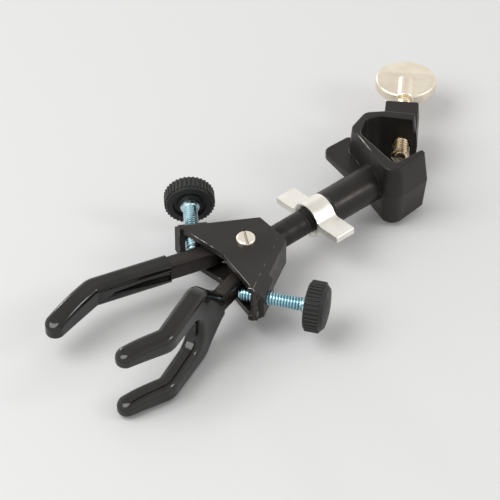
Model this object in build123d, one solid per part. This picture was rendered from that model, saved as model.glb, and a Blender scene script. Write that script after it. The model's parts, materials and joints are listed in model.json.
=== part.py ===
from build123d import *
import os
from math import asin, atan, cos, degrees, radians, sin, sqrt, tan

# A two-finger laboratory clamp on a swivelling boss head, in millimetres.
# Working frame: origin on the stem axis at the finger pivot, +X along the stem to the
# boss head, +Z up. The finished pieces are shifted so that the origin is the axis of a
# stand rod lying in the jaw, at the height of the stem.

# Stand rod and jaw
rod_diameter = 12.7
pivot_to_jaw = 75.2
jaw_turn = 42.0
jaw_apex_side = 9.6
jaw_depth = 29.2
jaw_left_length = 23.0
jaw_front_length = 16.2
jaw_mouth_start = 5.2
wall_end_radius = 1.2
jaw_wall = 4.2
jaw_apex_radius = 2.5
left_wall_flare = 8.5
front_wall_flare = 8.0
left_end_in = 3.6
left_end_out = 6.6
outer_apex_side = 0.5
back_corner_in = 1.6
back_corner_out = 1.2
hollow_out = 0.6
hollow_back_in = 3.0
hollow_back_drop = 0.8
hollow_corner_drop = 7.0
hollow_radii = [3.0, 2.5, 4.0]
head_radii = [6.5, 4.2, 6.0, 9.0]
head_height = 31.8
head_draft = 4.5
head_edge = 0.9

# Screw lug on the boss head
lug_length = 16.2
lug_width = 15.6
lug_height = 15.6
lug_draft = 4.0
lug_corner = 1.6
lug_side = 0.7

# Socket and rib
socket_diameter = 15.9
socket_length = 32.0
socket_edge = 1.5
rib_thickness = 4.0
rib_reach = 7.2
rib_over = 6.5
rib_past = 8.5
rib_corner = 3.0
rib_edge = 0.8

# Clamp screw and thumb head
screw_turn = 45.5
screw_miss = 1.1
jaw_screw_diameter = 7.94
jaw_screw_tip_gap = 4.7
jaw_screw_point = 1.2
jaw_screw_exposed = 7.4
jaw_neck_diameter = 5.4
jaw_neck_length = 6.0
thumb_gap = 1.2
thumb_width = 27.2
thumb_length = 24.0
thumb_thickness = 5.4
thumb_crease = 3.6
thumb_rim = 3.4
thumb_edge = 1.2
thumb_hub_diameter = 8.4

# Stem and what retains it
stem_diameter = 11.1
stem_chamfer = 0.5
spigot_diameter = 8.0
retainer_recess = 4.6
retainer_recess_diameter = 14.0
retainer_washer_diameter = 13.2
retainer_washer_thickness = 1.2
retainer_screw_diameter = 4.0
retainer_screw_length = 9.0
retainer_head_diameter = 7.6
retainer_head_height = 2.4

# Wing nut
wing_nut_length = 9.9
wing_nut_diameter = 16.0
wing_nut_countersink = 1.7
wing_span = 40.6
wing_thickness = 3.1
wing_blend = 3.0
wing_tilt = 8.0

# Housing
housing_height = 19.0
plate_thickness = 3.0
plate_rear_x = 13.4
plate_rear_half = 6.7
plate_front_x = -16.5
plate_front_half = 24.45
plate_notch_x = -12.9
wall_out = 2.65
wall_chamfer = 2.6
housing_rear_x = 15.1
boss_out = 5.0
boss_length = 12.4
boss_flat = 10.6
boss_root = 2.0
pocket_inset = 0.8
pocket_rear_x = 8.9
pocket_corner = 3.0

# Pivot
pivot_diameter = 5.8
pivot_head_diameter = 8.45
pivot_head_height = 1.7
pivot_slot_width = 1.1
pivot_slot_depth = 0.8
pivot_slot_angle = 62.0
pivot_washer_diameter = 10.6
pivot_washer_thickness = 0.9
pivot_nut_flats = 9.5
pivot_nut_thickness = 3.4
pivot_thread_past = 0.8

# Fingers
lug_radius = 8.0
lug_end_play = 0.15
spring_space = 4.5
arm_height = 9.4
arm_start = 9.2
single_splay = 15.5
single_offset = 6.4
single_width = 7.0
single_bend = 68.0
single_tip = 23.5
single_tip_turn = 27.3
single_tip_width = 7.6
fork_splay = 16.0
fork_offset = 5.8
fork_width = 7.0
fork_bow_start = 42.0
prong_offset = 9.6
prong_rise = 1.1
prong_outer = 18.9
prong_inner = 9.4
prong_tip_outer = 17.5
prong_tip_inner = 11.7
prong_end_radius = 2.6
fork_root = 30.0
fork_shoulder = 44.0
fork_shoulder_radius = 9.0
fork_crotch = 47.5
fork_crotch_radius = 8.0
fork_bend = 72.0
prong_tip = 18.5
prong_tip_turn = 26.7
bend_radius = 6.0
fork_bow_radius = 30.0
prong_edge = 2.2
fork_past = 9.0
finger_edge = 1.8
channel_height = 5.2
channel_depth = 1.6
channel_end = 60.0
channel_tip_half = 0.6
channel_open = 9.0

# Dipped sleeves
sleeve_wall = 0.9
single_sleeve_start = 33.3
fork_sleeve_start = 30.5

# Adjusting screws and knobs
adjuster_diameter = 6.35
adjuster_angle = 36.0
adjuster_back = 6.1
adjuster_exposed = 16.6
adjuster_collar = 8.2
adjuster_collar_length = 1.4
adjuster_tail_diameter = 5.0
adjuster_tail_length = 6.5
adjuster_tip_gap = 0.15
knob_diameter = 21.4
knob_length = 9.4
knob_ribs = 36
knob_rib_radius = 0.62
knob_rib_start = 0.8
knob_rib_length = 5.8
knob_bevel = 1.6
knob_dome = 1.0
knob_recess_depth = 1.2
knob_recess_wall = 3.4

# Opening spring
spring_wire = 0.9
spring_radius = 3.8
spring_turn_pitch = 0.98
spring_whole_turns = 2
spring_leg = 9.5
spring_leg_gap = 0.1

# Clearances
running = 0.05
face_gap = 0.05

# Directions and places worked out from the sizes above
jaw_cos, jaw_sin = cos(radians(jaw_turn)), sin(radians(jaw_turn))
rod_on_axis = rod_diameter / 2 * sqrt(2)
rod_x = pivot_to_jaw + rod_on_axis * jaw_cos
rod_y = -jaw_apex_side + rod_on_axis * jaw_sin
head_half = head_height / 2
draft_step = head_half * tan(radians(head_draft))
lug_start = jaw_depth + jaw_wall - draft_step / 2 - rod_on_axis
lug_end = lug_start + lug_length
inner_half = housing_height / 2 - plate_thickness
left_face_x = pivot_to_jaw + jaw_apex_side / tan(radians(45 + jaw_turn))
socket_end_x = left_face_x - socket_length
stem_end_x = left_face_x - retainer_recess + face_gap
side_run = Vector(plate_front_x - plate_rear_x, plate_front_half - plate_rear_half)
side_dir = side_run.normalized()
side_out = Vector(-side_dir.Y, side_dir.X) * -1


def jaw_plane():
    """Plane in the jaw: X along its line of symmetry from the apex of the V."""
    return Plane(origin=(pivot_to_jaw, -jaw_apex_side, 0), x_dir=(jaw_cos, jaw_sin, 0), z_dir=(0, 0, 1))


def screw_frame():
    """Plane with X along the clamp screw, its origin beside the rod's centre."""
    run = Vector(cos(radians(screw_turn)), sin(radians(screw_turn)), 0)
    origin = Vector(rod_x, rod_y, 0) + Vector(run.Y, -run.X, 0) * screw_miss
    return Plane(origin=origin, x_dir=run, z_dir=(0, 0, 1))


def screw_plane():
    """Plane across the clamp screw beside the rod's centre: its normal is the screw's axis."""
    frame = screw_frame()
    return Plane(origin=frame.origin, x_dir=(0, 0, 1), z_dir=frame.x_dir)


def save(shape, node):
    export_step(shape.moved(Location((-rod_x, -rod_y, 0))), f"parts/{node}.step")


def both_ways(face, height, draft):
    """A casting drafted both ways from the parting plane at mid height."""
    up = extrude(face, amount=height / 2, taper=draft)
    return up + mirror(up, about=Plane.XY)


def rod_along(plane, start, end, radius):
    return extrude(plane.offset(start) * Circle(radius), amount=end - start)


# Boss head: one casting of jaw, screw lug, stem socket and side rib
def head_outline():
    """Outside of the jaw at mid height, in the jaw plane, with its mouth closed."""
    side = jaw_left_length / sqrt(2)
    reach = jaw_front_length / sqrt(2)
    back = jaw_depth + jaw_wall
    left_slope = tan(radians(45 - left_wall_flare))
    front_slope = tan(radians(45 - front_wall_flare))
    left_end = (side + left_end_in, side + left_end_out)
    apex_v = outer_apex_side
    apex_u = left_end[0] - (left_end[1] - apex_v) / left_slope
    front_u = (2 * reach + apex_v + apex_u * front_slope) / (1 + front_slope)
    front_v = apex_v - (front_u - apex_u) * front_slope
    inside = jaw_wall * 1.2
    back_end = -jaw_mouth_start - draft_step
    return [
        (apex_u, apex_v), left_end, (back - back_corner_in, side + back_corner_out),
        (back + draft_step / 2, lug_width / 2),
        (back + draft_step / 2, back_end), (jaw_depth - 4, back_end), (front_u + inside, front_v + inside),
        (front_u, front_v),
    ]


def rounded(corners, radii):
    """Closed outline whose corners are rounded by the radii, or left sharp where one is 0."""
    face = make_face(Polyline(*corners, close=True))
    for corner, radius in zip(corners, radii):
        if radius:
            face = fillet(face.vertices().sort_by_distance((*corner, 0))[0], radius)
    return face


def jaw_hollow():
    """Inside of the jaw in the jaw plane, open past its mouth."""
    side = jaw_left_length / sqrt(2)
    past = jaw_front_length / sqrt(2) + 5.0
    corners = [(0, 0), (side + hollow_out, side + hollow_out),
               (jaw_depth - hollow_back_in, side - hollow_back_drop), (jaw_depth, side - hollow_corner_drop),
               (jaw_depth - hollow_back_drop, -past), (past, -past)]
    return rounded(corners, [jaw_apex_radius, *hollow_radii, 0.5, 0.5])


def make_boss_head():
    plane = jaw_plane()
    body = both_ways(plane * rounded(head_outline(), head_radii + [0, 0, 0, 0]), head_height, head_draft)
    body = body - extrude(plane * jaw_hollow(), amount=head_height, both=True)
    body = fillet(wall_end_edges(body, plane), wall_end_radius)
    rims = body.edges().filter_by(lambda e: abs(abs(e.center().Z) - head_half) < 0.01)
    body = fillet(rims, head_edge)
    lug_face = RectangleRounded(lug_length + 6, lug_width, lug_corner)
    lug_face = screw_frame() * Pos(lug_start + lug_length / 2 - 3, lug_side) * lug_face
    lug = both_ways(lug_face, lug_height, lug_draft)
    rib = make_rib()
    socket = rod_along(Plane.YZ, socket_end_x, left_face_x, socket_diameter / 2)
    hollow = extrude(plane * jaw_hollow(), amount=head_height, both=True)
    body = body + (lug + rib + socket - hollow)
    body = body - rod_along(Plane.YZ, socket_end_x - 1, left_face_x + 3, stem_diameter / 2 + running)
    recess_x = left_face_x - retainer_recess
    body = body - rod_along(Plane.YZ, recess_x, left_face_x + 6, retainer_recess_diameter / 2)
    hole = rod_along(screw_plane(), lug_start - 8, lug_end + 4, jaw_screw_diameter / 2 + running)
    body = body - hole
    end = body.edges().filter_by(lambda e: abs(e.center().X - socket_end_x) < 0.01)
    return fillet(end.sort_by(lambda e: e.length)[-1], socket_edge)


def wall_end_edges(body, plane):
    """The upright edges at the two ends of the jaw's wall, beside its mouth."""
    def at_end(edge):
        place = plane.to_local_coords(edge.center())
        upright = abs((edge @ 0).Z - (edge @ 1).Z) > head_half * 0.8
        front = place.Y < -jaw_front_length / sqrt(2) + 1.5
        back = place.Y < -3 and place.X > jaw_depth - 2
        return upright and (front or back)
    return body.edges().filter_by(at_end)


def make_rib():
    """Flat rib at mid height round the far side of the socket and the jaw's corner."""
    side = socket_diameter / 2
    left = left_face_x - rib_reach - jaw_wall
    far = side + 20.0
    corners = [(left, side - 4), (left + 2.2, far), (left + 17.0, far - 0.6), (left + 22.0, side + 6),
               (left + 16.0, side - 4)]
    outline = make_face(FilletPolyline(*corners, radius=[0.5, 4.0, 3.0, 3.0, 0.5], close=True))
    rib = extrude(outline, amount=rib_thickness / 2, both=True)
    return fillet(rib.faces().filter_by(Axis.Z).edges(), rib_edge)


# Clamp screw and its thumb head
def make_jaw_screw():
    start = rod_diameter / 2 + jaw_screw_tip_gap
    shank_end = lug_end + jaw_screw_exposed
    radius = jaw_screw_diameter / 2
    neck = jaw_neck_diameter / 2
    end = shank_end + jaw_neck_length + thumb_gap
    profile = Polyline((0, start), (radius - jaw_screw_point, start), (radius, start + jaw_screw_point),
                       (radius, shank_end - 0.8), (neck, shank_end), (neck, end), (0, end), close=True)
    return turned(profile, screw_plane())


def turned(profile, plane):
    """Piece turned about the normal of the plane: profile points are (radius, along)."""
    solid = revolve(Plane.XZ * make_face(profile), Axis.Z)
    return plane.location * solid


def make_thumb_head():
    start = lug_end + jaw_screw_exposed + thumb_gap
    half = thumb_thickness / 2
    over = thumb_length / 2 + 1
    plate = extrude(Ellipse(thumb_length / 2, thumb_width / 2), amount=half, both=True)
    plate = fillet(plate.edges().filter_by(GeomType.ELLIPSE), thumb_edge)
    wedge = make_face(Polyline((thumb_crease, half), (over, thumb_rim / 2), (over, half + 1),
                               (thumb_crease, half + 1), close=True))
    wedge = extrude(Plane.XZ * wedge, amount=thumb_width, both=True)
    plate = plate - wedge - mirror(wedge, about=Plane.XY)
    hub = rod_along(Plane.YZ, -thumb_length / 2, 0, thumb_hub_diameter / 2)
    hub = fillet(hub.edges().sort_by(Axis.X)[0], 1.0)
    bore = rod_along(Plane.YZ, -thumb_length, jaw_neck_length - thumb_length / 2 + running,
                     jaw_neck_diameter / 2 + running)
    head = screw_frame().location * Pos(start + thumb_length / 2, 0, 0) * (plate + hub - bore)
    return head


# Stem, its washer and its screw
def make_stem():
    radius = stem_diameter / 2
    hole = retainer_screw_diameter / 2
    points = [(0, pocket_rear_x + 0.2), (spigot_diameter / 2, pocket_rear_x + 0.2),
              (spigot_diameter / 2, housing_rear_x), (radius, housing_rear_x),
              (radius, stem_end_x - stem_chamfer), (radius - stem_chamfer, stem_end_x),
              (hole, stem_end_x), (hole, stem_end_x - retainer_screw_length),
              (0, stem_end_x - retainer_screw_length - 1)]
    return turned(Polyline(*points, close=True), stem_plane())


def stem_plane():
    return Plane(origin=(0, 0, 0), x_dir=(0, 1, 0), z_dir=(1, 0, 0))


def make_retaining_washer():
    ring = Circle(retainer_washer_diameter / 2) - Circle(retainer_screw_diameter / 2 + running)
    return extrude(stem_plane().offset(stem_end_x) * ring, amount=retainer_washer_thickness)


def make_retaining_screw():
    head_x = stem_end_x + retainer_washer_thickness
    shank = rod_along(stem_plane(), stem_end_x - retainer_screw_length, head_x, retainer_screw_diameter / 2)
    head = rod_along(stem_plane(), head_x, head_x + retainer_head_height, retainer_head_diameter / 2)
    head = fillet(head.edges().sort_by(Axis.X)[-1], 0.8)
    slot = Pos(head_x + retainer_head_height, 0, 0) * Box(2.0, retainer_head_diameter + 1, 1.1)
    return shank + head - slot


def make_wing_nut():
    """Cast nut with two wings; its bore and the countersinks clear the stem."""
    hub = Circle(wing_nut_diameter / 2)
    section = hub + Rectangle(wing_span, wing_thickness)
    on_wing = section.vertices().filter_by(lambda v: abs(abs(v.Y) - wing_thickness / 2) < 0.01)
    roots = on_wing.filter_by(lambda v: abs(v.X) < wing_span / 3)
    section = fillet(roots, wing_blend)
    start = socket_end_x - face_gap - wing_nut_length
    nut = extrude(stem_plane().offset(start) * Rot(0, 0, -wing_tilt) * section, amount=wing_nut_length)
    tips = nut.edges().filter_by(lambda e: sqrt(e.center().Y ** 2 + e.center().Z ** 2) > wing_span / 2 - 2.0)
    nut = fillet(tips, 0.5)
    bore = stem_diameter / 2 + running
    sunk = wing_nut_countersink
    points = [(0, start - 1), (bore + sunk + 1, start - 1), (bore, start + sunk),
              (bore, start + wing_nut_length - sunk / 2), (bore + sunk / 2 + 1, start + wing_nut_length + 1),
              (0, start + wing_nut_length + 1)]
    return nut - turned(Polyline(*points, close=True), stem_plane())


# Housing: one casting with two plates, side walls, rear wall and the screw bosses
def side_point(along, out, z=0.0):
    """Point on the +Y side wall: distance from the rear corner, distance outside the plate."""
    base = Vector(plate_rear_x, plate_rear_half) + side_dir * along + side_out * out
    return Vector(base.X, base.Y, z)


def plate_outline(out, rear_x, front_past=0.0):
    reach = side_run.length + front_past
    rear_along = (plate_rear_x + side_out.X * out - rear_x) / -side_dir.X
    rear = side_point(rear_along, out)
    front = side_point(reach, out)
    return Polyline((rear.X, rear.Y), (front.X, front.Y), (front.X, -front.Y), (rear.X, -rear.Y), close=True)


def make_housing():
    half = housing_height / 2
    past = 8.0
    middle = make_face(plate_outline(wall_out, housing_rear_x, past))
    rim = make_face(plate_outline(0.0, plate_rear_x, past))
    body = extrude(middle, amount=half - wall_chamfer, both=True)
    cap = loft([Pos(0, 0, half - wall_chamfer) * middle, Pos(0, 0, half) * rim], ruled=True)
    body = body + cap + mirror(cap, about=Plane.XY)
    front = plate_front_x - 20
    nose = make_face(Polyline((plate_front_x, 60), (plate_front_x, plate_front_half), (plate_notch_x, 0),
                              (plate_front_x, -plate_front_half), (plate_front_x, -60), (front, -60),
                              (front, 60), close=True))
    body = body - extrude(nose, amount=housing_height, both=True)
    for turn in (1, -1):
        boss = make_screw_boss()
        body = body + (boss if turn > 0 else mirror(boss, about=Plane.XZ))
    pocket = make_face(plate_outline(-pocket_inset, pocket_rear_x, past))
    pocket = extrude(pocket, amount=inner_half, both=True)
    rear = pocket.edges().filter_by(Axis.Z).group_by(Axis.X)[-1]
    body = body - fillet(rear, pocket_corner)
    body = body - rod_along(Plane.XY, -housing_height, housing_height, pivot_diameter / 2 + running)
    body = body - rod_along(Plane.YZ, 0, housing_rear_x + 1, spigot_diameter / 2)
    for sign in (1, -1):
        body = body - rod_along(adjuster_plane(sign), -12, 12, adjuster_diameter / 2 + running)
    return body


def make_screw_boss():
    """Raised pad on the side wall round the adjusting screw, sloping to both plates."""
    half = housing_height / 2
    centre = side_run.length - adjuster_back
    across = (side_out.X, side_out.Y, 0)
    plane = Plane(origin=side_point(centre, 0), x_dir=across, z_dir=(side_dir.X, side_dir.Y, 0))
    flat = boss_flat / 2
    outline = make_face(Polyline((-boss_root, -half), (0, -half), (boss_out, -flat), (boss_out, flat),
                                 (0, half), (-boss_root, half), close=True))
    return extrude(plane * outline, amount=boss_length / 2, both=True)


# Adjusting screws: foot on the boss face, axis outwards and to the rear
def adjuster_axis(sign):
    return Vector(sin(radians(adjuster_angle)), sign * cos(radians(adjuster_angle)), 0)


def adjuster_foot(sign, along=0.0):
    foot = side_point(side_run.length - adjuster_back, boss_out)
    return Vector(foot.X, sign * foot.Y, 0) + adjuster_axis(sign) * along


def adjuster_plane(sign):
    axis = adjuster_axis(sign)
    return Plane(origin=adjuster_foot(sign), x_dir=(0, 0, 1), z_dir=axis)


def tip_along(sign, splay, offset, width):
    """Where the round tip of the screw stands off the arm's outer face."""
    normal = Vector(sin(radians(splay)), sign * cos(radians(splay)), 0)
    radius = adjuster_diameter / 2
    centre_along = (offset + width / 2 + adjuster_tip_gap + radius - normal.dot(adjuster_foot(sign)))
    return centre_along / normal.dot(adjuster_axis(sign)) - radius


def make_adjuster(sign, splay, offset, width):
    radius = adjuster_diameter / 2
    tip = tip_along(sign, splay, offset, width)
    collar_start = adjuster_exposed - adjuster_collar_length
    shank = rod_along(adjuster_plane(sign), tip + radius, adjuster_exposed, radius)
    ball = adjuster_plane(sign).offset(tip + radius).location * Sphere(radius)
    collar = rod_along(adjuster_plane(sign), collar_start, adjuster_exposed - face_gap, adjuster_collar / 2)
    tail_end = adjuster_exposed + adjuster_tail_length
    tail = rod_along(adjuster_plane(sign), collar_start, tail_end, adjuster_tail_diameter / 2)
    collar_end = adjuster_exposed - face_gap
    shank = shank - rod_along(adjuster_plane(sign), collar_end, adjuster_exposed + 1, adjuster_diameter)
    return shank + ball + collar + tail


def dome_arc(edge_radius, top, rise):
    """Arc of a shallow sphere from its edge to its crown on the axis."""
    sphere = (edge_radius ** 2 + rise ** 2) / (2 * rise)
    half = asin(edge_radius / sphere) / 2
    middle = (sphere * sin(half), top - sphere + sphere * cos(half))
    return ThreePointArc((edge_radius, top - rise), middle, (0, top))


def make_knob(sign):
    """Round knob with a ribbed side, a domed face and a ring recess underneath."""
    radius = knob_diameter / 2 - knob_rib_radius / 2
    bore = adjuster_tail_diameter / 2 + running
    bore_end = adjuster_tail_length + running
    ring = radius - knob_recess_wall
    neck = adjuster_collar / 2 + 1.0
    side_end = knob_length - knob_bevel - knob_dome
    outline = Polyline((0, knob_length), (0, bore_end), (bore, bore_end), (bore, 0), (neck, 0),
                       (neck + 0.4, knob_recess_depth), (ring, knob_recess_depth), (ring + 0.4, 0),
                       (radius - 0.6, 0), (radius, 0.6), (radius, side_end),
                       (radius - knob_bevel, side_end + knob_bevel))
    dome = dome_arc(radius - knob_bevel, knob_length, knob_dome)
    knob = revolve(Plane.XZ * make_face([outline, dome]), Axis.Z)
    rib = Pos(radius, 0, knob_rib_start + knob_rib_length / 2) * Cylinder(knob_rib_radius, knob_rib_length)
    knob = knob + [Rot(0, 0, 360 / knob_ribs * turn) * rib for turn in range(knob_ribs)]
    return adjuster_plane(sign).offset(adjuster_exposed).location * knob


# Pivot
def make_pivot_screw():
    half = housing_height / 2
    nut_face = -half - pivot_washer_thickness - pivot_nut_thickness
    shank = rod_along(Plane.XY, nut_face - pivot_thread_past, half, pivot_diameter / 2)
    head = rod_along(Plane.XY, half, half + pivot_head_height, pivot_head_diameter / 2)
    head = fillet(head.edges().sort_by(Axis.Z)[-1], pivot_head_height * 0.6)
    slot = Pos(0, 0, half + pivot_head_height) * Rot(0, 0, pivot_slot_angle)
    slot = slot * Box(pivot_head_diameter + 1, pivot_slot_width, 2 * pivot_slot_depth)
    return shank + head - slot


def make_pivot_washer():
    ring = Circle(pivot_washer_diameter / 2) - Circle(pivot_diameter / 2 + running)
    return extrude(Pos(0, 0, -housing_height / 2) * ring, amount=-pivot_washer_thickness)


def make_pivot_nut():
    top = -housing_height / 2 - pivot_washer_thickness
    ring = RegularPolygon(pivot_nut_flats / 2, 6, major_radius=False) - Circle(pivot_diameter / 2 + running)
    return extrude(Pos(0, 0, top) * ring, amount=-pivot_nut_thickness)


# Fingers, built with X along the arm from the pivot, Y outwards and Z up
def place_single(shape):
    return Rot(0, 0, 180 - single_splay) * mirror(shape, about=Plane.XZ)


def place_fork(shape):
    return Rot(0, 0, 180 + fork_splay) * shape


def tip_point(bend_s, bend_n, length, turn):
    return (bend_s + length * cos(radians(turn)), bend_n - length * sin(radians(turn)))


def single_blank(grow):
    """Bar of the single finger, or its dipped outside when grown."""
    tip = tip_point(single_bend, single_offset, single_tip, single_tip_turn)
    line = FilletPolyline((arm_start + single_width / 2, single_offset), (single_bend, single_offset), tip,
                          radius=bend_radius)
    plan = SlotArc(line, single_width + 2 * grow)
    bar = extrude(plan, amount=arm_height / 2 + grow, both=True)
    return fillet(bar.faces().filter_by(Axis.Z).edges(), finger_edge + grow)


def fork_blank(grow):
    """Bar of the forked finger, or its dipped outside when grown: side view cut from the bowed plan."""
    tip = tip_point(fork_bend, prong_offset, prong_tip, prong_tip_turn)
    line = FilletPolyline((arm_start + fork_width / 2, fork_offset), (fork_bow_start, fork_offset),
                          (fork_bend, prong_offset), tip, radius=[fork_bow_radius, bend_radius])
    plan = extrude(SlotArc(line, fork_width + 2 * grow), amount=2 * prong_outer, both=True)
    end = tip[0] + fork_width
    half = arm_height / 2
    top, low = prong_rise + prong_outer, prong_rise - prong_outer
    outer = Polyline((0, -half), (fork_root, -half), (fork_shoulder, low),
                     (end, prong_rise - prong_tip_outer),
                     (end, prong_rise + prong_tip_outer), (fork_shoulder, top), (fork_root, half), (0, half),
                     close=True)
    face = make_face(outer)
    face = fillet(face.vertices().filter_by(lambda v: fork_root - 1 < v.X < end - 1), fork_shoulder_radius)
    past = end + fork_past
    slot = Polyline((fork_crotch, prong_rise - prong_inner), (past, prong_rise - prong_tip_inner),
                    (past, prong_rise + prong_tip_inner), (fork_crotch, prong_rise + prong_inner), close=True)
    slot = make_face(slot)
    slot = fillet(slot.vertices().filter_by(lambda v: v.X < end), fork_crotch_radius)
    face = face - slot
    face = fillet(face.vertices().filter_by(lambda v: v.X > end - 1), prong_end_radius)
    if grow:
        face = offset(face, amount=grow, kind=Kind.INTERSECTION)
    solid = plan & extrude(Plane.XZ * face, amount=3 * prong_outer, both=True)
    return fillet(solid.edges().filter_by(lambda e: e.center().X > 1), prong_edge + grow)


def finger_lug(low, high, offset_n, width):
    """Half-lap eye round the pivot with its neck to the arm."""
    outer = offset_n + width / 2
    inner = offset_n - width / 2
    reach = arm_start + width / 2 + 1
    eye = Circle(lug_radius)
    neck = make_face(Polyline((0, 0), (0, lug_radius), (arm_start, outer), (reach, outer), (reach, inner),
                              (arm_start - 2, inner), close=True))
    sketch = eye + neck - Circle(pivot_diameter / 2 + running)
    return extrude(Pos(0, 0, low) * sketch, amount=high - low)


def channel(grow):
    """Tapering recess on the inner face of the single finger."""
    face_n = single_offset - single_width / 2 - grow
    half = channel_height / 2 + sleeve_wall - grow
    start = single_sleeve_start - 0.01
    outline = make_face(Polyline((start, -half), (channel_end, -channel_tip_half),
                                 (channel_end, channel_tip_half), (start, half), close=True))
    floor = Plane(origin=(0, face_n + channel_depth, 0), x_dir=(1, 0, 0), z_dir=(0, -1, 0))
    return extrude(floor * outline, amount=channel_open)


def make_single_finger():
    high = inner_half - lug_end_play
    bar = single_blank(0) - channel(0)
    return place_single(bar + finger_lug(spring_space / 2, high, single_offset, single_width))


def make_fork():
    low = lug_end_play - inner_half
    return place_fork(fork_blank(0) + finger_lug(low, -spring_space / 2, fork_offset, fork_width))


def sleeve(outer, inner, start):
    cut = Pos(start - 100, 0, 0) * Box(200, 200, 200)
    return outer - inner - cut


def make_single_sleeve():
    outer = single_blank(sleeve_wall) - channel(sleeve_wall)
    return place_single(sleeve(outer, single_blank(0) - channel(0), single_sleeve_start))


def make_fork_sleeve():
    return place_fork(sleeve(fork_blank(sleeve_wall), fork_blank(0), fork_sleeve_start))


# Torsion spring round the pivot, one leg on the inside of each arm
def leg_slant(offset_n, width):
    target = offset_n - width / 2 - spring_wire / 2 - spring_leg_gap
    reach = sqrt(spring_radius ** 2 + spring_leg ** 2)
    return degrees(asin(target / reach) + atan(spring_radius / spring_leg))


def make_spring():
    start = 180 - single_splay - leg_slant(single_offset, single_width) + 90
    finish = 180 + fork_splay + leg_slant(fork_offset, fork_width) - 90
    turns = spring_whole_turns + (finish - start + 360) / 360
    height = spring_turn_pitch * turns
    coil = Pos(0, 0, -height / 2) * Rot(0, 0, start) * Helix(spring_turn_pitch, height, spring_radius)
    first = coil @ 0
    last = coil @ 1
    leg_in = Line(first - (coil % 0) * spring_leg, first)
    leg_out = Line(last, last + (coil % 1) * spring_leg)
    path = Wire([leg_in, *coil.edges(), leg_out])
    section = Plane(origin=path @ 0, z_dir=path % 0) * Circle(spring_wire / 2)
    return sweep(section, path=path)


def build_all():
    os.makedirs("parts", exist_ok=True)
    save(make_boss_head(), "boss_head")
    save(make_jaw_screw(), "jaw_screw")
    save(make_thumb_head(), "jaw_thumb_head")
    save(make_stem(), "stem")
    save(make_retaining_washer(), "retaining_washer")
    save(make_retaining_screw(), "retaining_screw")
    save(make_wing_nut(), "wing_nut")
    save(make_housing(), "housing")
    save(make_pivot_screw(), "pivot_screw")
    save(make_pivot_washer(), "pivot_lock_washer")
    save(make_pivot_nut(), "pivot_nut")
    save(make_single_finger(), "single_finger")
    save(make_fork(), "forked_finger")
    save(make_single_sleeve(), "single_finger_sleeve")
    save(make_fork_sleeve(), "forked_finger_sleeve")
    save(make_spring(), "opening_spring")
    save(make_adjuster(1, single_splay, single_offset, single_width), "single_adjusting_screw")
    save(make_adjuster(-1, fork_splay, fork_offset, fork_width), "forked_adjusting_screw")
    save(make_knob(1), "single_knob")
    save(make_knob(-1), "forked_knob")


build_all()
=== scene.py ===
import json
from math import cos, pi, radians, sin, sqrt

import bmesh
import bpy
from mathutils import Matrix, Vector


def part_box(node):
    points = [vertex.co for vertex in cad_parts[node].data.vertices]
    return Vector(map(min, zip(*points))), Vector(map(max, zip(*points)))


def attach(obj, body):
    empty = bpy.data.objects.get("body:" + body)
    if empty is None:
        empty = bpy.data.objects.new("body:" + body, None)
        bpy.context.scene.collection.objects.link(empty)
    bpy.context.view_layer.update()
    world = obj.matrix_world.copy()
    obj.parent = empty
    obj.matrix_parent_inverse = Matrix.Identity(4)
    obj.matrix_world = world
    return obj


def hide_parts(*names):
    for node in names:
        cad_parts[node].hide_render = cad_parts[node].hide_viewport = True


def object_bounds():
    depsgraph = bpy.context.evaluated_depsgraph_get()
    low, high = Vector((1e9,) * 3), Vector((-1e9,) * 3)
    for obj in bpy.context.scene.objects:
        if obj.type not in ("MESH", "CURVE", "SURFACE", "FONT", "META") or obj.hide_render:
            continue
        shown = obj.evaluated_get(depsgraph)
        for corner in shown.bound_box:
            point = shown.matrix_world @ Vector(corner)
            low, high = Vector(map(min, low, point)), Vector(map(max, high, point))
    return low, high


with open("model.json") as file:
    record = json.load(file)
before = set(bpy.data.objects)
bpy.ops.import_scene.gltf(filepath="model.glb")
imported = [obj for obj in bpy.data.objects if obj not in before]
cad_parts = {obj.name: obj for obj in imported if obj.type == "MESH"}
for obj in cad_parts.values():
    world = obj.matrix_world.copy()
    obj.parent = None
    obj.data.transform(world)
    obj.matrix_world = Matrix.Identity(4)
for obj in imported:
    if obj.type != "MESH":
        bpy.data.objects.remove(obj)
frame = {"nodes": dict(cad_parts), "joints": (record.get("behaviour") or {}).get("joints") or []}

cad_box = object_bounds()

# Boss head: one iron casting with a V jaw for a stand rod, a lug for the clamp screw, a bored socket and a
# flat rib. It is powder coated in satin black, with a fine orange peel. The coat is worn through in patches
# along its edges, and in a bright line on the jaw's inner rim.


def new_finish(name, colour, roughness, metallic=0.0, gloss=0.5):
    """A material whose shader has these plain values, ready for its patterns."""
    finish = bpy.data.materials.new(name)
    finish.use_nodes = True
    shader = finish.node_tree.nodes["Principled BSDF"]
    shader.inputs["Base Color"].default_value = (*colour, 1)
    shader.inputs["Roughness"].default_value = roughness
    shader.inputs["Metallic"].default_value = metallic
    shader.inputs["Specular IOR Level"].default_value = gloss
    return finish


def add(finish, kind, inputs=None, **settings):
    """A node with its settings, and with values or links on its inputs."""
    node = finish.node_tree.nodes.new(kind)
    for setting, value in settings.items():
        setattr(node, setting, value)
    for socket, value in (inputs or {}).items():
        if isinstance(value, bpy.types.NodeSocket):
            finish.node_tree.links.new(value, node.inputs[socket])
        else:
            node.inputs[socket].default_value = value
    return node


def connect(finish, **outputs):
    """Patterns go to the shader's sockets, such as Base_Color."""
    shader = finish.node_tree.nodes["Principled BSDF"]
    for socket, output in outputs.items():
        finish.node_tree.links.new(output, shader.inputs[socket.replace("_", " ")])


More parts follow.
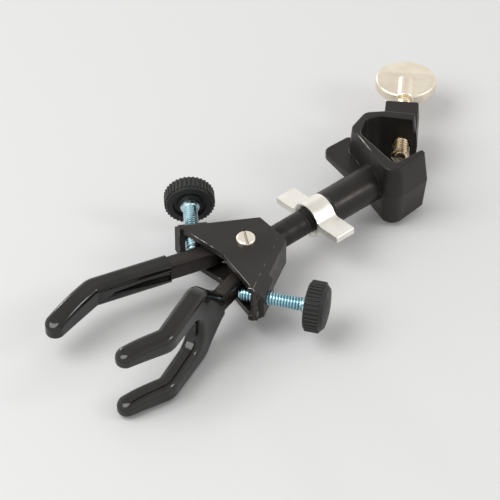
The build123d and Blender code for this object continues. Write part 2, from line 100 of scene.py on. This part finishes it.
def cloud(finish, size, detail=3.0):
    """Noise on the piece itself, whose patches are about this size in metres."""
    place = add(finish, "ShaderNodeTexCoord").outputs["Object"]
    inputs = {"Vector": place, "Scale": 1 / size, "Detail": detail}
    return add(finish, "ShaderNodeTexNoise", inputs).outputs["Fac"]


def spread(finish, value, low=0.0, high=1.0, start=0.35, end=0.65):
    """Takes what lies between start and end to what lies between low and high, and stops there."""
    inputs = {"Value": value, "From Min": start, "From Max": end, "To Min": low, "To Max": high}
    return add(finish, "ShaderNodeMapRange", inputs).outputs["Result"]


def product(finish, first, second):
    """The two values multiplied."""
    return add(finish, "ShaderNodeMath", {0: first, 1: second}, operation="MULTIPLY").outputs["Value"]


def larger(finish, first, second):
    """The larger of the two values."""
    return add(finish, "ShaderNodeMath", {0: first, 1: second}, operation="MAXIMUM").outputs["Value"]


def blend_colours(finish, share, first, second):
    """Colour that goes from the first to the second as the share goes from 0 to 1."""
    mix = add(finish, "ShaderNodeMix", {"Factor": share}, data_type="RGBA")
    for socket, colour in zip((6, 7), (first, second)):
        if isinstance(colour, bpy.types.NodeSocket):
            finish.node_tree.links.new(colour, mix.inputs[socket])
        else:
            mix.inputs[socket].default_value = (*colour, 1)
    return mix.outputs[2]


def relief(finish, height, depth, under=None):
    """Bump of this depth in metres, on top of another normal where one is given."""
    inputs = {"Height": height, "Distance": depth, "Strength": 1.0}
    if under:
        inputs["Normal"] = under
    return add(finish, "ShaderNodeBump", inputs).outputs["Normal"]


def worn_edges(finish, radius, start, end):
    """How far a sharp edge has been rubbed: 1 where its rounded normal turns away most."""
    soft = add(finish, "ShaderNodeBevel", {"Radius": radius}, samples=4).outputs["Normal"]
    true = add(finish, "ShaderNodeNewGeometry").outputs["Normal"]
    same = add(finish, "ShaderNodeVectorMath", {0: soft, 1: true}, operation="DOT_PRODUCT").outputs["Value"]
    return spread(finish, same, start=start, end=end), soft


bare_iron, warm_gleam, dust_gain = (0.52, 0.50, 0.47), (1.0, 0.93, 0.87, 1), 1.5


def powder_coat(name, coat, edge_radius, rubbed, where=None, line=None):
    """Satin black powder coat, rubbed bright in patches along sharp edges, and along the whole of those that
    lie where the first function says. The second one draws a rubbed line on a rounded edge."""
    finish = new_finish(name, coat, roughness=0.42, gloss=0.35)
    finish.node_tree.nodes["Principled BSDF"].inputs["Specular Tint"].default_value = warm_gleam
    edge, soft = worn_edges(finish, edge_radius, start=0.97, end=0.80)
    patches = spread(finish, cloud(finish, size=0.004), start=0.52, end=0.62)
    if where:
        patches = larger(finish, patches, where(finish))
    bare = product(finish, product(finish, edge, patches), rubbed)
    if line:
        bare = larger(finish, bare, line(finish))
    dust = tuple(channel * dust_gain for channel in coat)
    clean = blend_colours(finish, spread(finish, cloud(finish, size=0.018)), coat, dust)
    colour = blend_colours(finish, bare, clean, bare_iron)
    satin = spread(finish, cloud(finish, size=0.007), low=0.30, high=0.40)
    peel = relief(finish, cloud(finish, size=0.0011, detail=1.0), depth=0.00003, under=soft)
    grit = relief(finish, cloud(finish, size=0.00035, detail=2.0), depth=0.000008, under=peel)
    connect(finish, Base_Color=colour, Roughness=satin, Metallic=bare, Normal=grit)
    return finish


def coat_node(node, finish):
    """Gives a CAD piece its finish on every slot."""
    mesh = frame["nodes"][node].data
    if not mesh.materials:
        mesh.materials.append(finish)
    for slot in range(len(mesh.materials)):
        mesh.materials[slot] = finish


head_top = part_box("boss_head")[1].z
rim_low, rim_full = head_top - 0.0014, head_top - 0.0012
rim_west, rim_east, rim_side_fade = -0.0090, -0.0040, 0.0003
rim_south, rim_north, rim_end_fade = -0.0050, 0.0165, 0.003
rim_steep, rim_flat = (0.50, 0.66), (0.93, 0.85)


def jaw_rim(finish):
    """The rounded inner rim of the jaw's long wall, where the rod and the thumb rub it bright. Its place is
    measured from the rod's axis, where the origin is. The two last limits are on how far it leans."""
    coordinates = add(finish, "ShaderNodeTexCoord").outputs
    along, across, up = add(finish, "ShaderNodeSeparateXYZ", {"Vector": coordinates["Object"]}).outputs
    slope = add(finish, "ShaderNodeSeparateXYZ", {"Vector": coordinates["Normal"]}).outputs["Z"]
    limits = [(along, rim_west - rim_side_fade, rim_west), (along, rim_east + rim_side_fade, rim_east),
              (across, rim_south - rim_end_fade, rim_south), (across, rim_north + rim_end_fade, rim_north),
              (slope, *rim_steep), (slope, *rim_flat)]
    share = spread(finish, up, start=rim_low, end=rim_full)
    for place, start, end in limits:
        share = product(finish, share, spread(finish, place, start=start, end=end))
    return product(finish, share, spread(finish, cloud(finish, size=0.003), low=0.15, high=0.85))


head_coat = powder_coat("powder_coated_casting", (0.0095, 0.0088, 0.0080), edge_radius=0.0005, rubbed=0.8,
                        line=jaw_rim)
coat_node("boss_head", head_coat)

# Clamp screw: a rolled steel screw of 18 threads to the inch, plated in a warm nickel, with a chamfered point
# that presses on the rod, a flat milled along one side and a plain neck that carries the thumb head.


def joint_axis(name):
    """A joint's place and direction, as vectors."""
    joint = next(row for row in frame["joints"] if row["name"] == name)
    return Vector(joint["pos_m"]), Vector(joint["axis"]).normalized()


def reach(node, place, axis):
    """Where a piece starts and ends along an axis, measured from its place."""
    along = [(corner.co - place).dot(axis) for corner in frame["nodes"][node].data.vertices]
    return min(along), max(along)


def laid_along(place, axis):
    """Puts a piece made along Z on an axis."""
    return Matrix.Translation(place) @ axis.to_track_quat("Z", "Y").to_matrix().to_4x4()


def finished_piece(name, mesh, finish, put=None, crease=38, outward=False):
    """Makes an object of the mesh, put in its place, with smooth faces that keep edges above the crease angle
    sharp. Faces that already point outward stay as they are."""
    if put is not None:
        bmesh.ops.transform(mesh, matrix=put, verts=mesh.verts)
    if not outward:
        bmesh.ops.recalc_face_normals(mesh, faces=mesh.faces)
    data = bpy.data.meshes.new(name)
    mesh.to_mesh(data)
    mesh.free()
    data.materials.append(finish)
    if crease is not None:
        data.shade_smooth()
        data.set_sharp_from_angle(angle=radians(crease))
    piece = bpy.data.objects.new(name, data)
    bpy.context.scene.collection.objects.link(piece)
    return piece


def cut_along(mesh, place, side, clear=True):
    """Cuts the mesh along a plane, and clears its outer side where that is wanted."""
    geometry = mesh.verts[:] + mesh.edges[:] + mesh.faces[:]
    bmesh.ops.bisect_plane(mesh, geom=geometry, dist=1e-9, plane_co=place, plane_no=side,
                           clear_outer=clear)


def close_openings(mesh):
    """A face over each opening that cutting has left."""
    bmesh.ops.holes_fill(mesh, edges=[edge for edge in mesh.edges if edge.is_boundary], sides=0)


def threaded_rod(pitch, depth, start, end, thread, outside, steps=32):
    """Rod along Z with a real V thread. One pitch of the thread's profile is spun into a helix whose turns
    are welded, both ends are cut square and closed, and outside() says how wide the rod is at each place.
    The attribute is 1 at the bottom of the thread, and weights the painted shade in its grooves."""
    flat, lead_turns, spare_turns = 0.06, 1.5, 4
    profile = [(1.0, 0.0), (1.0, flat), (0.0, 0.5 - flat), (0.0, 0.5 + flat), (1.0, 1 - flat), (1.0, 1.0)]
    mesh = bmesh.new()
    width = outside((thread[0] + thread[1]) / 2)
    corners = []
    for sunk, share in profile:
        corners.append(mesh.verts.new((width - depth * sunk, 0, start + pitch * (share - lead_turns))))
    edges = [mesh.edges.new(pair) for pair in zip(corners, corners[1:])]
    turns = int((end - start) / pitch) + spare_turns
    bmesh.ops.spin(mesh, geom=corners + edges, cent=(0, 0, 0), axis=(0, 0, 1), dvec=(0, 0, pitch / steps),
                   angle=2 * pi * turns, steps=steps * turns, use_merge=False)
    weld = pitch * 0.01
    bmesh.ops.remove_doubles(mesh, verts=mesh.verts, dist=weld)
    cut_along(mesh, (0, 0, start), (0, 0, -1))
    cut_along(mesh, (0, 0, end), (0, 0, 1))
    close_openings(mesh)
    groove_shade = mesh.verts.layers.float.new("groove_shade")
    for corner in mesh.verts:
        height = corner.co.z
        radius = sqrt(corner.co.x ** 2 + corner.co.y ** 2)
        fade = min(1.0, max(0.0, min(height - thread[0], thread[1] - height) / pitch))
        corner[groove_shade] = (width - radius) / depth * fade
        wanted = outside(height) - (width - radius) * fade
        corner.co.x *= wanted / radius
        corner.co.y *= wanted / radius
    return mesh


def tapered(points, height):
    """Radius at a height, on straight runs through points of height and radius."""
    for (low, first), (high, second) in zip(points, points[1:]):
        if height <= high:
            share = max(0.0, (height - low) / (high - low))
            return first + (second - first) * share
    return points[-1][1]


def plated_metal(name, colour, shade, roughness, grain, depth, groove_shade=None, crevice_shade=None):
    """Plated metal with faint clouds in its tint and a fine relief of its own. A thread's grooves, and the
    narrow places of a piece, get painted shade of the colours given: darker deep in a groove, and where other
    surfaces lie close."""
    finish = new_finish(name, colour, roughness, metallic=1.0)
    tint = blend_colours(finish, spread(finish, cloud(finish, size=0.006)), colour, shade)
    if groove_shade:
        # Painted shade: the thread's colour darkens towards the bottom of its grooves.
        sunk = add(finish, "ShaderNodeAttribute", attribute_name="groove_shade").outputs["Fac"]
        tint = blend_colours(finish, spread(finish, sunk, start=0.25, end=0.9), tint, groove_shade)
    if crevice_shade:
        # Painted shade: ambient occlusion darkens the colour where other surfaces lie close, as in the
        # screw's slot.
        openness = add(finish, "ShaderNodeAmbientOcclusion", {"Distance": 0.001}, samples=8, only_local=True)
        crevice_shade_share = spread(finish, openness.outputs["AO"], low=1.0, high=0.0, start=0.45, end=0.8)
        tint = blend_colours(finish, crevice_shade_share, tint, crevice_shade)
    dull = spread(finish, cloud(finish, size=0.0025), low=roughness - 0.05, high=roughness + 0.08)
    connect(finish, Base_Color=tint, Roughness=dull, Normal=relief(finish, cloud(finish, grain), depth))
    return finish


clamp_pitch, clamp_depth, clamp_radius = 0.001411, 0.00075, 0.00397
clamp_point, clamp_shoulder, clamp_neck, clamp_neck_radius = 0.0012, 0.0008, 0.0072, 0.0027
clamp_lead, clamp_run_out = clamp_pitch * 0.7, 0.002
clamp_flat, flat_side = 0.0034, Vector((-0.93, 0.37, 0)).normalized()
clamp_place, clamp_axis = joint_axis("thumb_turn")
clamp_start, clamp_end = reach("jaw_screw", clamp_place, clamp_axis)
shank_end = clamp_end - clamp_neck
clamp_profile = [(clamp_start, clamp_radius - clamp_point), (clamp_start + clamp_point, clamp_radius),
                 (shank_end - clamp_shoulder, clamp_radius), (shank_end, clamp_neck_radius),
                 (clamp_end, clamp_neck_radius)]
screw_mesh = threaded_rod(clamp_pitch, clamp_depth, clamp_start, clamp_end,
                          (clamp_start - clamp_lead, shank_end - clamp_run_out),
                          lambda height: tapered(clamp_profile, height))
cut_along(screw_mesh, flat_side * clamp_flat, flat_side)
close_openings(screw_mesh)
# Its last colour is painted shade in the thread's grooves.
warm_nickel = plated_metal("warm_nickel_screw", (0.90, 0.78, 0.58), (0.78, 0.64, 0.44), roughness=0.24,
                           grain=0.0007, depth=0.000006, groove_shade=(0.30, 0.19, 0.10))
clamp_screw = finished_piece("clamp_screw_thread", screw_mesh, warm_nickel,
                             laid_along(clamp_place, clamp_axis))
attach(clamp_screw, "clamp_screw")
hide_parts("jaw_screw")

# Thumb head: an oval plate pressed on the neck of the clamp screw, tumbled smooth and plated in satin nickel
# of a cream tint.
cream_nickel = plated_metal("cream_nickel", (0.88, 0.80, 0.665), (0.80, 0.715, 0.58), roughness=0.33,
                            grain=0.0012, depth=0.00001)
coat_node("jaw_thumb_head", cream_nickel)

# Stem: a turned steel rod, blackened, with a spigot in the housing, smooth behind it and threaded from the
# wing nut to its end in the socket. A washer and a screw in clear zinc hold it there, sunk in the jaw's wall.
stem_pitch, stem_depth, stem_radius = 0.001814, 0.0009, 0.00555
spigot_radius, spigot_step, stem_chamfer = 0.0040, 0.0001, 0.0005
stem_lead, stem_past = 0.0035, 0.002
stem_low, stem_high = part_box("stem")
stem_place = (stem_low + stem_high) / 2
stem_axis = Vector((1, 0, 0))
stem_start, stem_end = reach("stem", stem_place, stem_axis)
spigot_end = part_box("housing")[1].x - stem_place.x
nut_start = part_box("wing_nut")[0].x - stem_place.x
stem_profile = [(stem_start, spigot_radius), (spigot_end - spigot_step, spigot_radius),
                (spigot_end, stem_radius), (stem_end - stem_chamfer, stem_radius),
                (stem_end, stem_radius - stem_chamfer)]
stem_mesh = threaded_rod(stem_pitch, stem_depth, stem_start, stem_end,
                         (nut_start - stem_lead, stem_end + stem_past),
                         lambda height: tapered(stem_profile, height), steps=48)
black_oxide = new_finish("black_oxide_steel", (0.014, 0.012, 0.010), roughness=0.4, metallic=0.3, gloss=0.3)
oxide_tint = blend_colours(black_oxide, spread(black_oxide, cloud(black_oxide, size=0.005)),
                           (0.012, 0.011, 0.010), (0.022, 0.019, 0.016))
oxide_rough = spread(black_oxide, cloud(black_oxide, size=0.003), low=0.36, high=0.50)
oxide_grain = relief(black_oxide, cloud(black_oxide, size=0.0004), depth=0.000006)
connect(black_oxide, Base_Color=oxide_tint, Roughness=oxide_rough, Normal=oxide_grain)
stem = finished_piece("threaded_stem", stem_mesh, black_oxide, laid_along(stem_place, stem_axis))
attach(stem, "stem_and_housing")
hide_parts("stem")
clear_zinc = plated_metal("clear_zinc", (0.74, 0.77, 0.78), (0.62, 0.65, 0.67), roughness=0.28,
                          grain=0.0006, depth=0.000005)
for fastener in ("retaining_washer", "retaining_screw"):
    coat_node(fastener, clear_zinc)

# Wing nut: cast and tumbled, nickel plated, with two flat wings. It runs on the stem and locks the swivel
# against the socket.
pale_nickel = plated_metal("pale_nickel_casting", (0.91, 0.885, 0.825), (0.84, 0.81, 0.74), roughness=0.36,
                           grain=0.0016, depth=0.00002)
coat_node("wing_nut", pale_nickel)

# Housing: one casting with two plates, side walls, a rear wall and two bosses for the adjusting screws. It
# has the boss head's powder coat, rubbed bright along the top plate's front edge on the forked finger's side.
housing_low, housing_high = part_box("housing")
corner_side, middle_side = housing_low.y + 0.016, housing_low.y + 0.028
edge_front, edge_back = housing_low.x + 0.0045, housing_low.x + 0.0055
edge_low, edge_high = housing_high.z - 0.0010, housing_high.z - 0.0006


def front_edge(finish):
    """1 along the top plate's front edge, from its middle to the corner by the forked finger, else 0."""
    place = add(finish, "ShaderNodeTexCoord").outputs["Object"]
    along, across, up = add(finish, "ShaderNodeSeparateXYZ", {"Vector": place}).outputs
    near = spread(finish, across, low=1.0, high=0.0, start=corner_side, end=middle_side)
    front = spread(finish, along, low=1.0, high=0.0, start=edge_front, end=edge_back)
    upper = spread(finish, up, start=edge_low, end=edge_high)
    return product(finish, product(finish, near, front), upper)


housing_coat = powder_coat("powder_coated_housing", (0.0135, 0.0125, 0.0115), edge_radius=0.0006, rubbed=1.0,
                           where=front_edge)
coat_node("housing", housing_coat)

# Pivot screw: a slotted screw with a low domed head in warm nickel, through both plates and both fingers. A
# lock washer and a nut in clear zinc hold it under the lower plate.
# The last colour is painted shade in the head's slot and narrow places.
pivot_nickel = plated_metal("warm_nickel_head", (0.93, 0.87, 0.76), (0.88, 0.80, 0.67), roughness=0.30,
                            grain=0.0009, depth=0.00001, crevice_shade=(0.10, 0.055, 0.03))
coat_node("pivot_screw", pivot_nickel)
for fastener in ("pivot_lock_washer", "pivot_nut"):
    coat_node(fastener, clear_zinc)

# Fingers: two iron castings half-lapped on the pivot, the first single and the second forked, in a brownish
# black powder coat. They slope down at their tips, so each is a copy of the level CAD piece, bent there.
arm_coat = powder_coat("powder_coated_arm", (0.0130, 0.0105, 0.0090), edge_radius=0.0005, rubbed=0.5)
tip_cuts, prong_height = 24, 0.0100
single_angle, single_length, single_drop = 191.8, 0.024, 0.0044
forked_angle, forked_length, forked_drop = 169.3, 0.015, 0.0026
single_low, single_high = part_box("single_finger_sleeve")
forked_low, forked_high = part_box("forked_finger_sleeve")
single_bands = [(single_low.z, single_high.z)]
forked_bands = [(forked_low.z, forked_low.z + prong_height), (forked_high.z - prong_height, forked_high.z)]
slopes = {"single_finger": (single_angle, single_length, single_drop, single_bands),
          "forked_finger": (forked_angle, forked_length, forked_drop, forked_bands)}


def sloped_tip(finger, node, name, finish):
    """A copy of a finger's piece whose top slopes down in a curve to the tip. The finger's last run points at
    its angle, the slope takes this length of it, and each band is the height of one prong."""
    angle, length, drop, bands = slopes[finger]
    direction = Vector((cos(radians(angle)), sin(radians(angle)), 0))
    end = reach(f"{finger}_sleeve", Vector((0, 0, 0)), direction)[1]
    mesh = bmesh.new()
    mesh.from_mesh(frame["nodes"][node].data)
    bmesh.ops.remove_doubles(mesh, verts=mesh.verts, dist=1e-7)
    for cut in range(1, tip_cuts + 1):
        cut_along(mesh, direction * (end - length * cut / tip_cuts), direction, clear=False)
    for corner in mesh.verts:
        share = max(0.0, (corner.co.dot(direction) - end) / length + 1)
        low, high = min(bands, key=lambda band: abs(corner.co.z - sum(band) / 2))
        up = min(1.0, max(0.0, (corner.co.z - low) / (high - low)))
        corner.co.z -= drop * share ** 2 * up
    piece = finished_piece(name, mesh, finish, outward=True)
    piece.modifiers.new("even_shading", "WEIGHTED_NORMAL").keep_sharp = True
    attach(piece, finger)
    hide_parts(node)


for finger in slopes:
    sloped_tip(finger, finger, f"{finger}_casting", arm_coat)

# Sleeves: soft vinyl that each finger was dipped in, so it is glossy, a little wavy, and ends in a square
# step on the arm. It follows the slope of the casting's tips.
vinyl = new_finish("dipped_vinyl", (0.006, 0.0055, 0.005), roughness=0.14)
vinyl_tint = blend_colours(vinyl, spread(vinyl, cloud(vinyl, size=0.012)),
                           (0.005, 0.0045, 0.004), (0.009, 0.008, 0.007))
vinyl_rough = spread(vinyl, cloud(vinyl, size=0.006), low=0.10, high=0.17)
vinyl_waves = relief(vinyl, cloud(vinyl, size=0.012, detail=0.0), depth=0.00010)
connect(vinyl, Base_Color=vinyl_tint, Roughness=vinyl_rough, Normal=vinyl_waves)
for finger in slopes:
    sloped_tip(finger, f"{finger}_sleeve", f"{finger}_dip", vinyl)

# Opening spring: drawn steel wire, dull grey, wound round the pivot between the fingers. It keeps both of
# them on their screws.
drawn_steel = plated_metal("drawn_spring_steel", (0.20, 0.195, 0.19), (0.12, 0.12, 0.12), roughness=0.36,
                           grain=0.0005, depth=0.000004)
coat_node("opening_spring", drawn_steel)

# Adjusting screws: steel of 20 threads to the inch in bright zinc with a cool tint, with a round tip that
# pushes the finger, a collar under the knob and a plain tail inside it.
adjuster_pitch, adjuster_depth, adjuster_radius = 0.00127, 0.00066, 0.003175
collar_radius, collar_length, tail_radius, tail_length = 0.0041, 0.0014, 0.0025, 0.0065
tip_flat, adjuster_lead = 0.0001, 0.002
# Its last colour is painted shade in the thread's grooves.
blue_zinc = plated_metal("blue_zinc", (0.66, 0.85, 0.90), (0.54, 0.76, 0.83), roughness=0.20,
                         grain=0.0006, depth=0.000005, groove_shade=(0.17, 0.33, 0.39))


def adjuster_width(height, start, end):
    """Radius of an adjusting screw: a round tip, the shank, the collar and the tail in the knob."""
    tail = end - tail_length
    if height < start + adjuster_radius:
        return sqrt(adjuster_radius ** 2 - (start + adjuster_radius - height) ** 2)
    if height < tail - collar_length:
        return adjuster_radius
    return collar_radius if height <= tail else tail_radius


for side in ("single", "forked"):
    knob_place, knob_axis = joint_axis(f"{side}_knob_turn")
    node = f"{side}_adjusting_screw"
    low, high = reach(node, knob_place, knob_axis)
    shank = threaded_rod(adjuster_pitch, adjuster_depth, low + tip_flat, high,
                         (low - adjuster_lead, high - tail_length - collar_length),
                         lambda height: adjuster_width(height, low, high))
    screw = finished_piece(f"{side}_screw_thread", shank, blue_zinc, laid_along(knob_place, knob_axis))
    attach(screw, f"{side}_screw")
    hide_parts(node)

# Knobs: moulded in black plastic round the screw's tail, with a ribbed side and a plain domed face of a fine
# matt grain.
knob_plastic = new_finish("moulded_plastic", (0.012, 0.0115, 0.011), roughness=0.5, gloss=0.4)
mould_rough = spread(knob_plastic, cloud(knob_plastic, size=0.004), low=0.44, high=0.58)
mould_grain = relief(knob_plastic, cloud(knob_plastic, size=0.0004, detail=2.0), depth=0.000018)
connect(knob_plastic, Roughness=mould_rough, Normal=mould_grain)
for knob in ("single_knob", "forked_knob"):
    coat_node(knob, knob_plastic)

# Studio: a plain pale floor, a wide soft lamp from the left, a small one from the right and a low one from
# behind. The air lights the clamp evenly, and shows in its gloss as bright low down and dimmer above. The
# camera has a long lens and stands at the photograph's angle.
floor_size = 6.0
floor_mesh = bmesh.new()
bmesh.ops.create_grid(floor_mesh, x_segments=1, y_segments=1, size=floor_size,
                      matrix=Matrix.Translation((0, 0, cad_box[0].z)))
paper = new_finish("pale_paper", (0.62, 0.62, 0.62), roughness=0.9)
floor = finished_piece("floor", floor_mesh, paper, crease=None)

clamp_middle = Vector((-0.0783, 0.0051, 0.0))


def stand_facing(name, data, azimuth, elevation, distance):
    """A lamp or camera that stands this far from the middle of the clamp and faces it."""
    turn, rise = radians(azimuth), radians(elevation)
    away = Vector((sin(turn) * cos(rise), -cos(turn) * cos(rise), sin(rise)))
    stood = bpy.data.objects.new(name, data)
    stood.location = clamp_middle + away * distance
    stood.rotation_euler = (-away).to_track_quat("-Z", "Y").to_euler()
    bpy.context.scene.collection.objects.link(stood)
    return stood


def soft_lamp(name, azimuth, elevation, distance, size, power):
    """A round soft lamp of this width in metres and power in watts."""
    lamp = bpy.data.lights.new(name, "AREA")
    lamp.shape = "DISK"
    lamp.size = size
    lamp.energy = power
    stand_facing(name, lamp, azimuth, elevation, distance)


soft_lamp("key_lamp", azimuth=-110, elevation=55, distance=1.2, size=0.9, power=9.0)
soft_lamp("fill_lamp", azimuth=36, elevation=34, distance=1.4, size=0.35, power=3.0)
soft_lamp("rim_lamp", azimuth=176, elevation=17, distance=1.3, size=0.22, power=1.6)

air_colour, even_light, horizon_light, upper_light = (1.0, 0.995, 0.985, 1), 0.75, 1.0, 0.74
horizon_top, upper_start = sin(radians(34)), sin(radians(43))
world = bpy.data.worlds.new("studio_air")
world.use_nodes = True
backdrop = world.node_tree.nodes["Background"]
backdrop.inputs["Color"].default_value = air_colour
rays = add(world, "ShaderNodeLightPath").outputs
seen = larger(world, larger(world, rays["Is Camera Ray"], rays["Is Glossy Ray"]), rays["Is Transmission Ray"])
sky = add(world, "ShaderNodeTexCoord").outputs["Generated"]
height = add(world, "ShaderNodeSeparateXYZ", {"Vector": sky}).outputs["Z"]
above = spread(world, height, low=horizon_light, high=upper_light, start=horizon_top, end=upper_start)
shown = product(world, seen, above)
even = product(world, rays["Is Diffuse Ray"], even_light)
strength = add(world, "ShaderNodeMath", {0: shown, 1: even}, operation="ADD").outputs["Value"]
world.node_tree.links.new(strength, backdrop.inputs["Strength"])
bpy.context.scene.world = world

lens = bpy.data.cameras.new("camera")
lens.sensor_width = 36.0
lens.lens = 252.0
lens.clip_start, lens.clip_end = 0.05, 30.0
camera = stand_facing("camera", lens, azimuth=-39.7, elevation=44.6, distance=1.489)
bpy.context.scene.camera = camera
bpy.context.scene.view_settings.view_transform = "Standard"
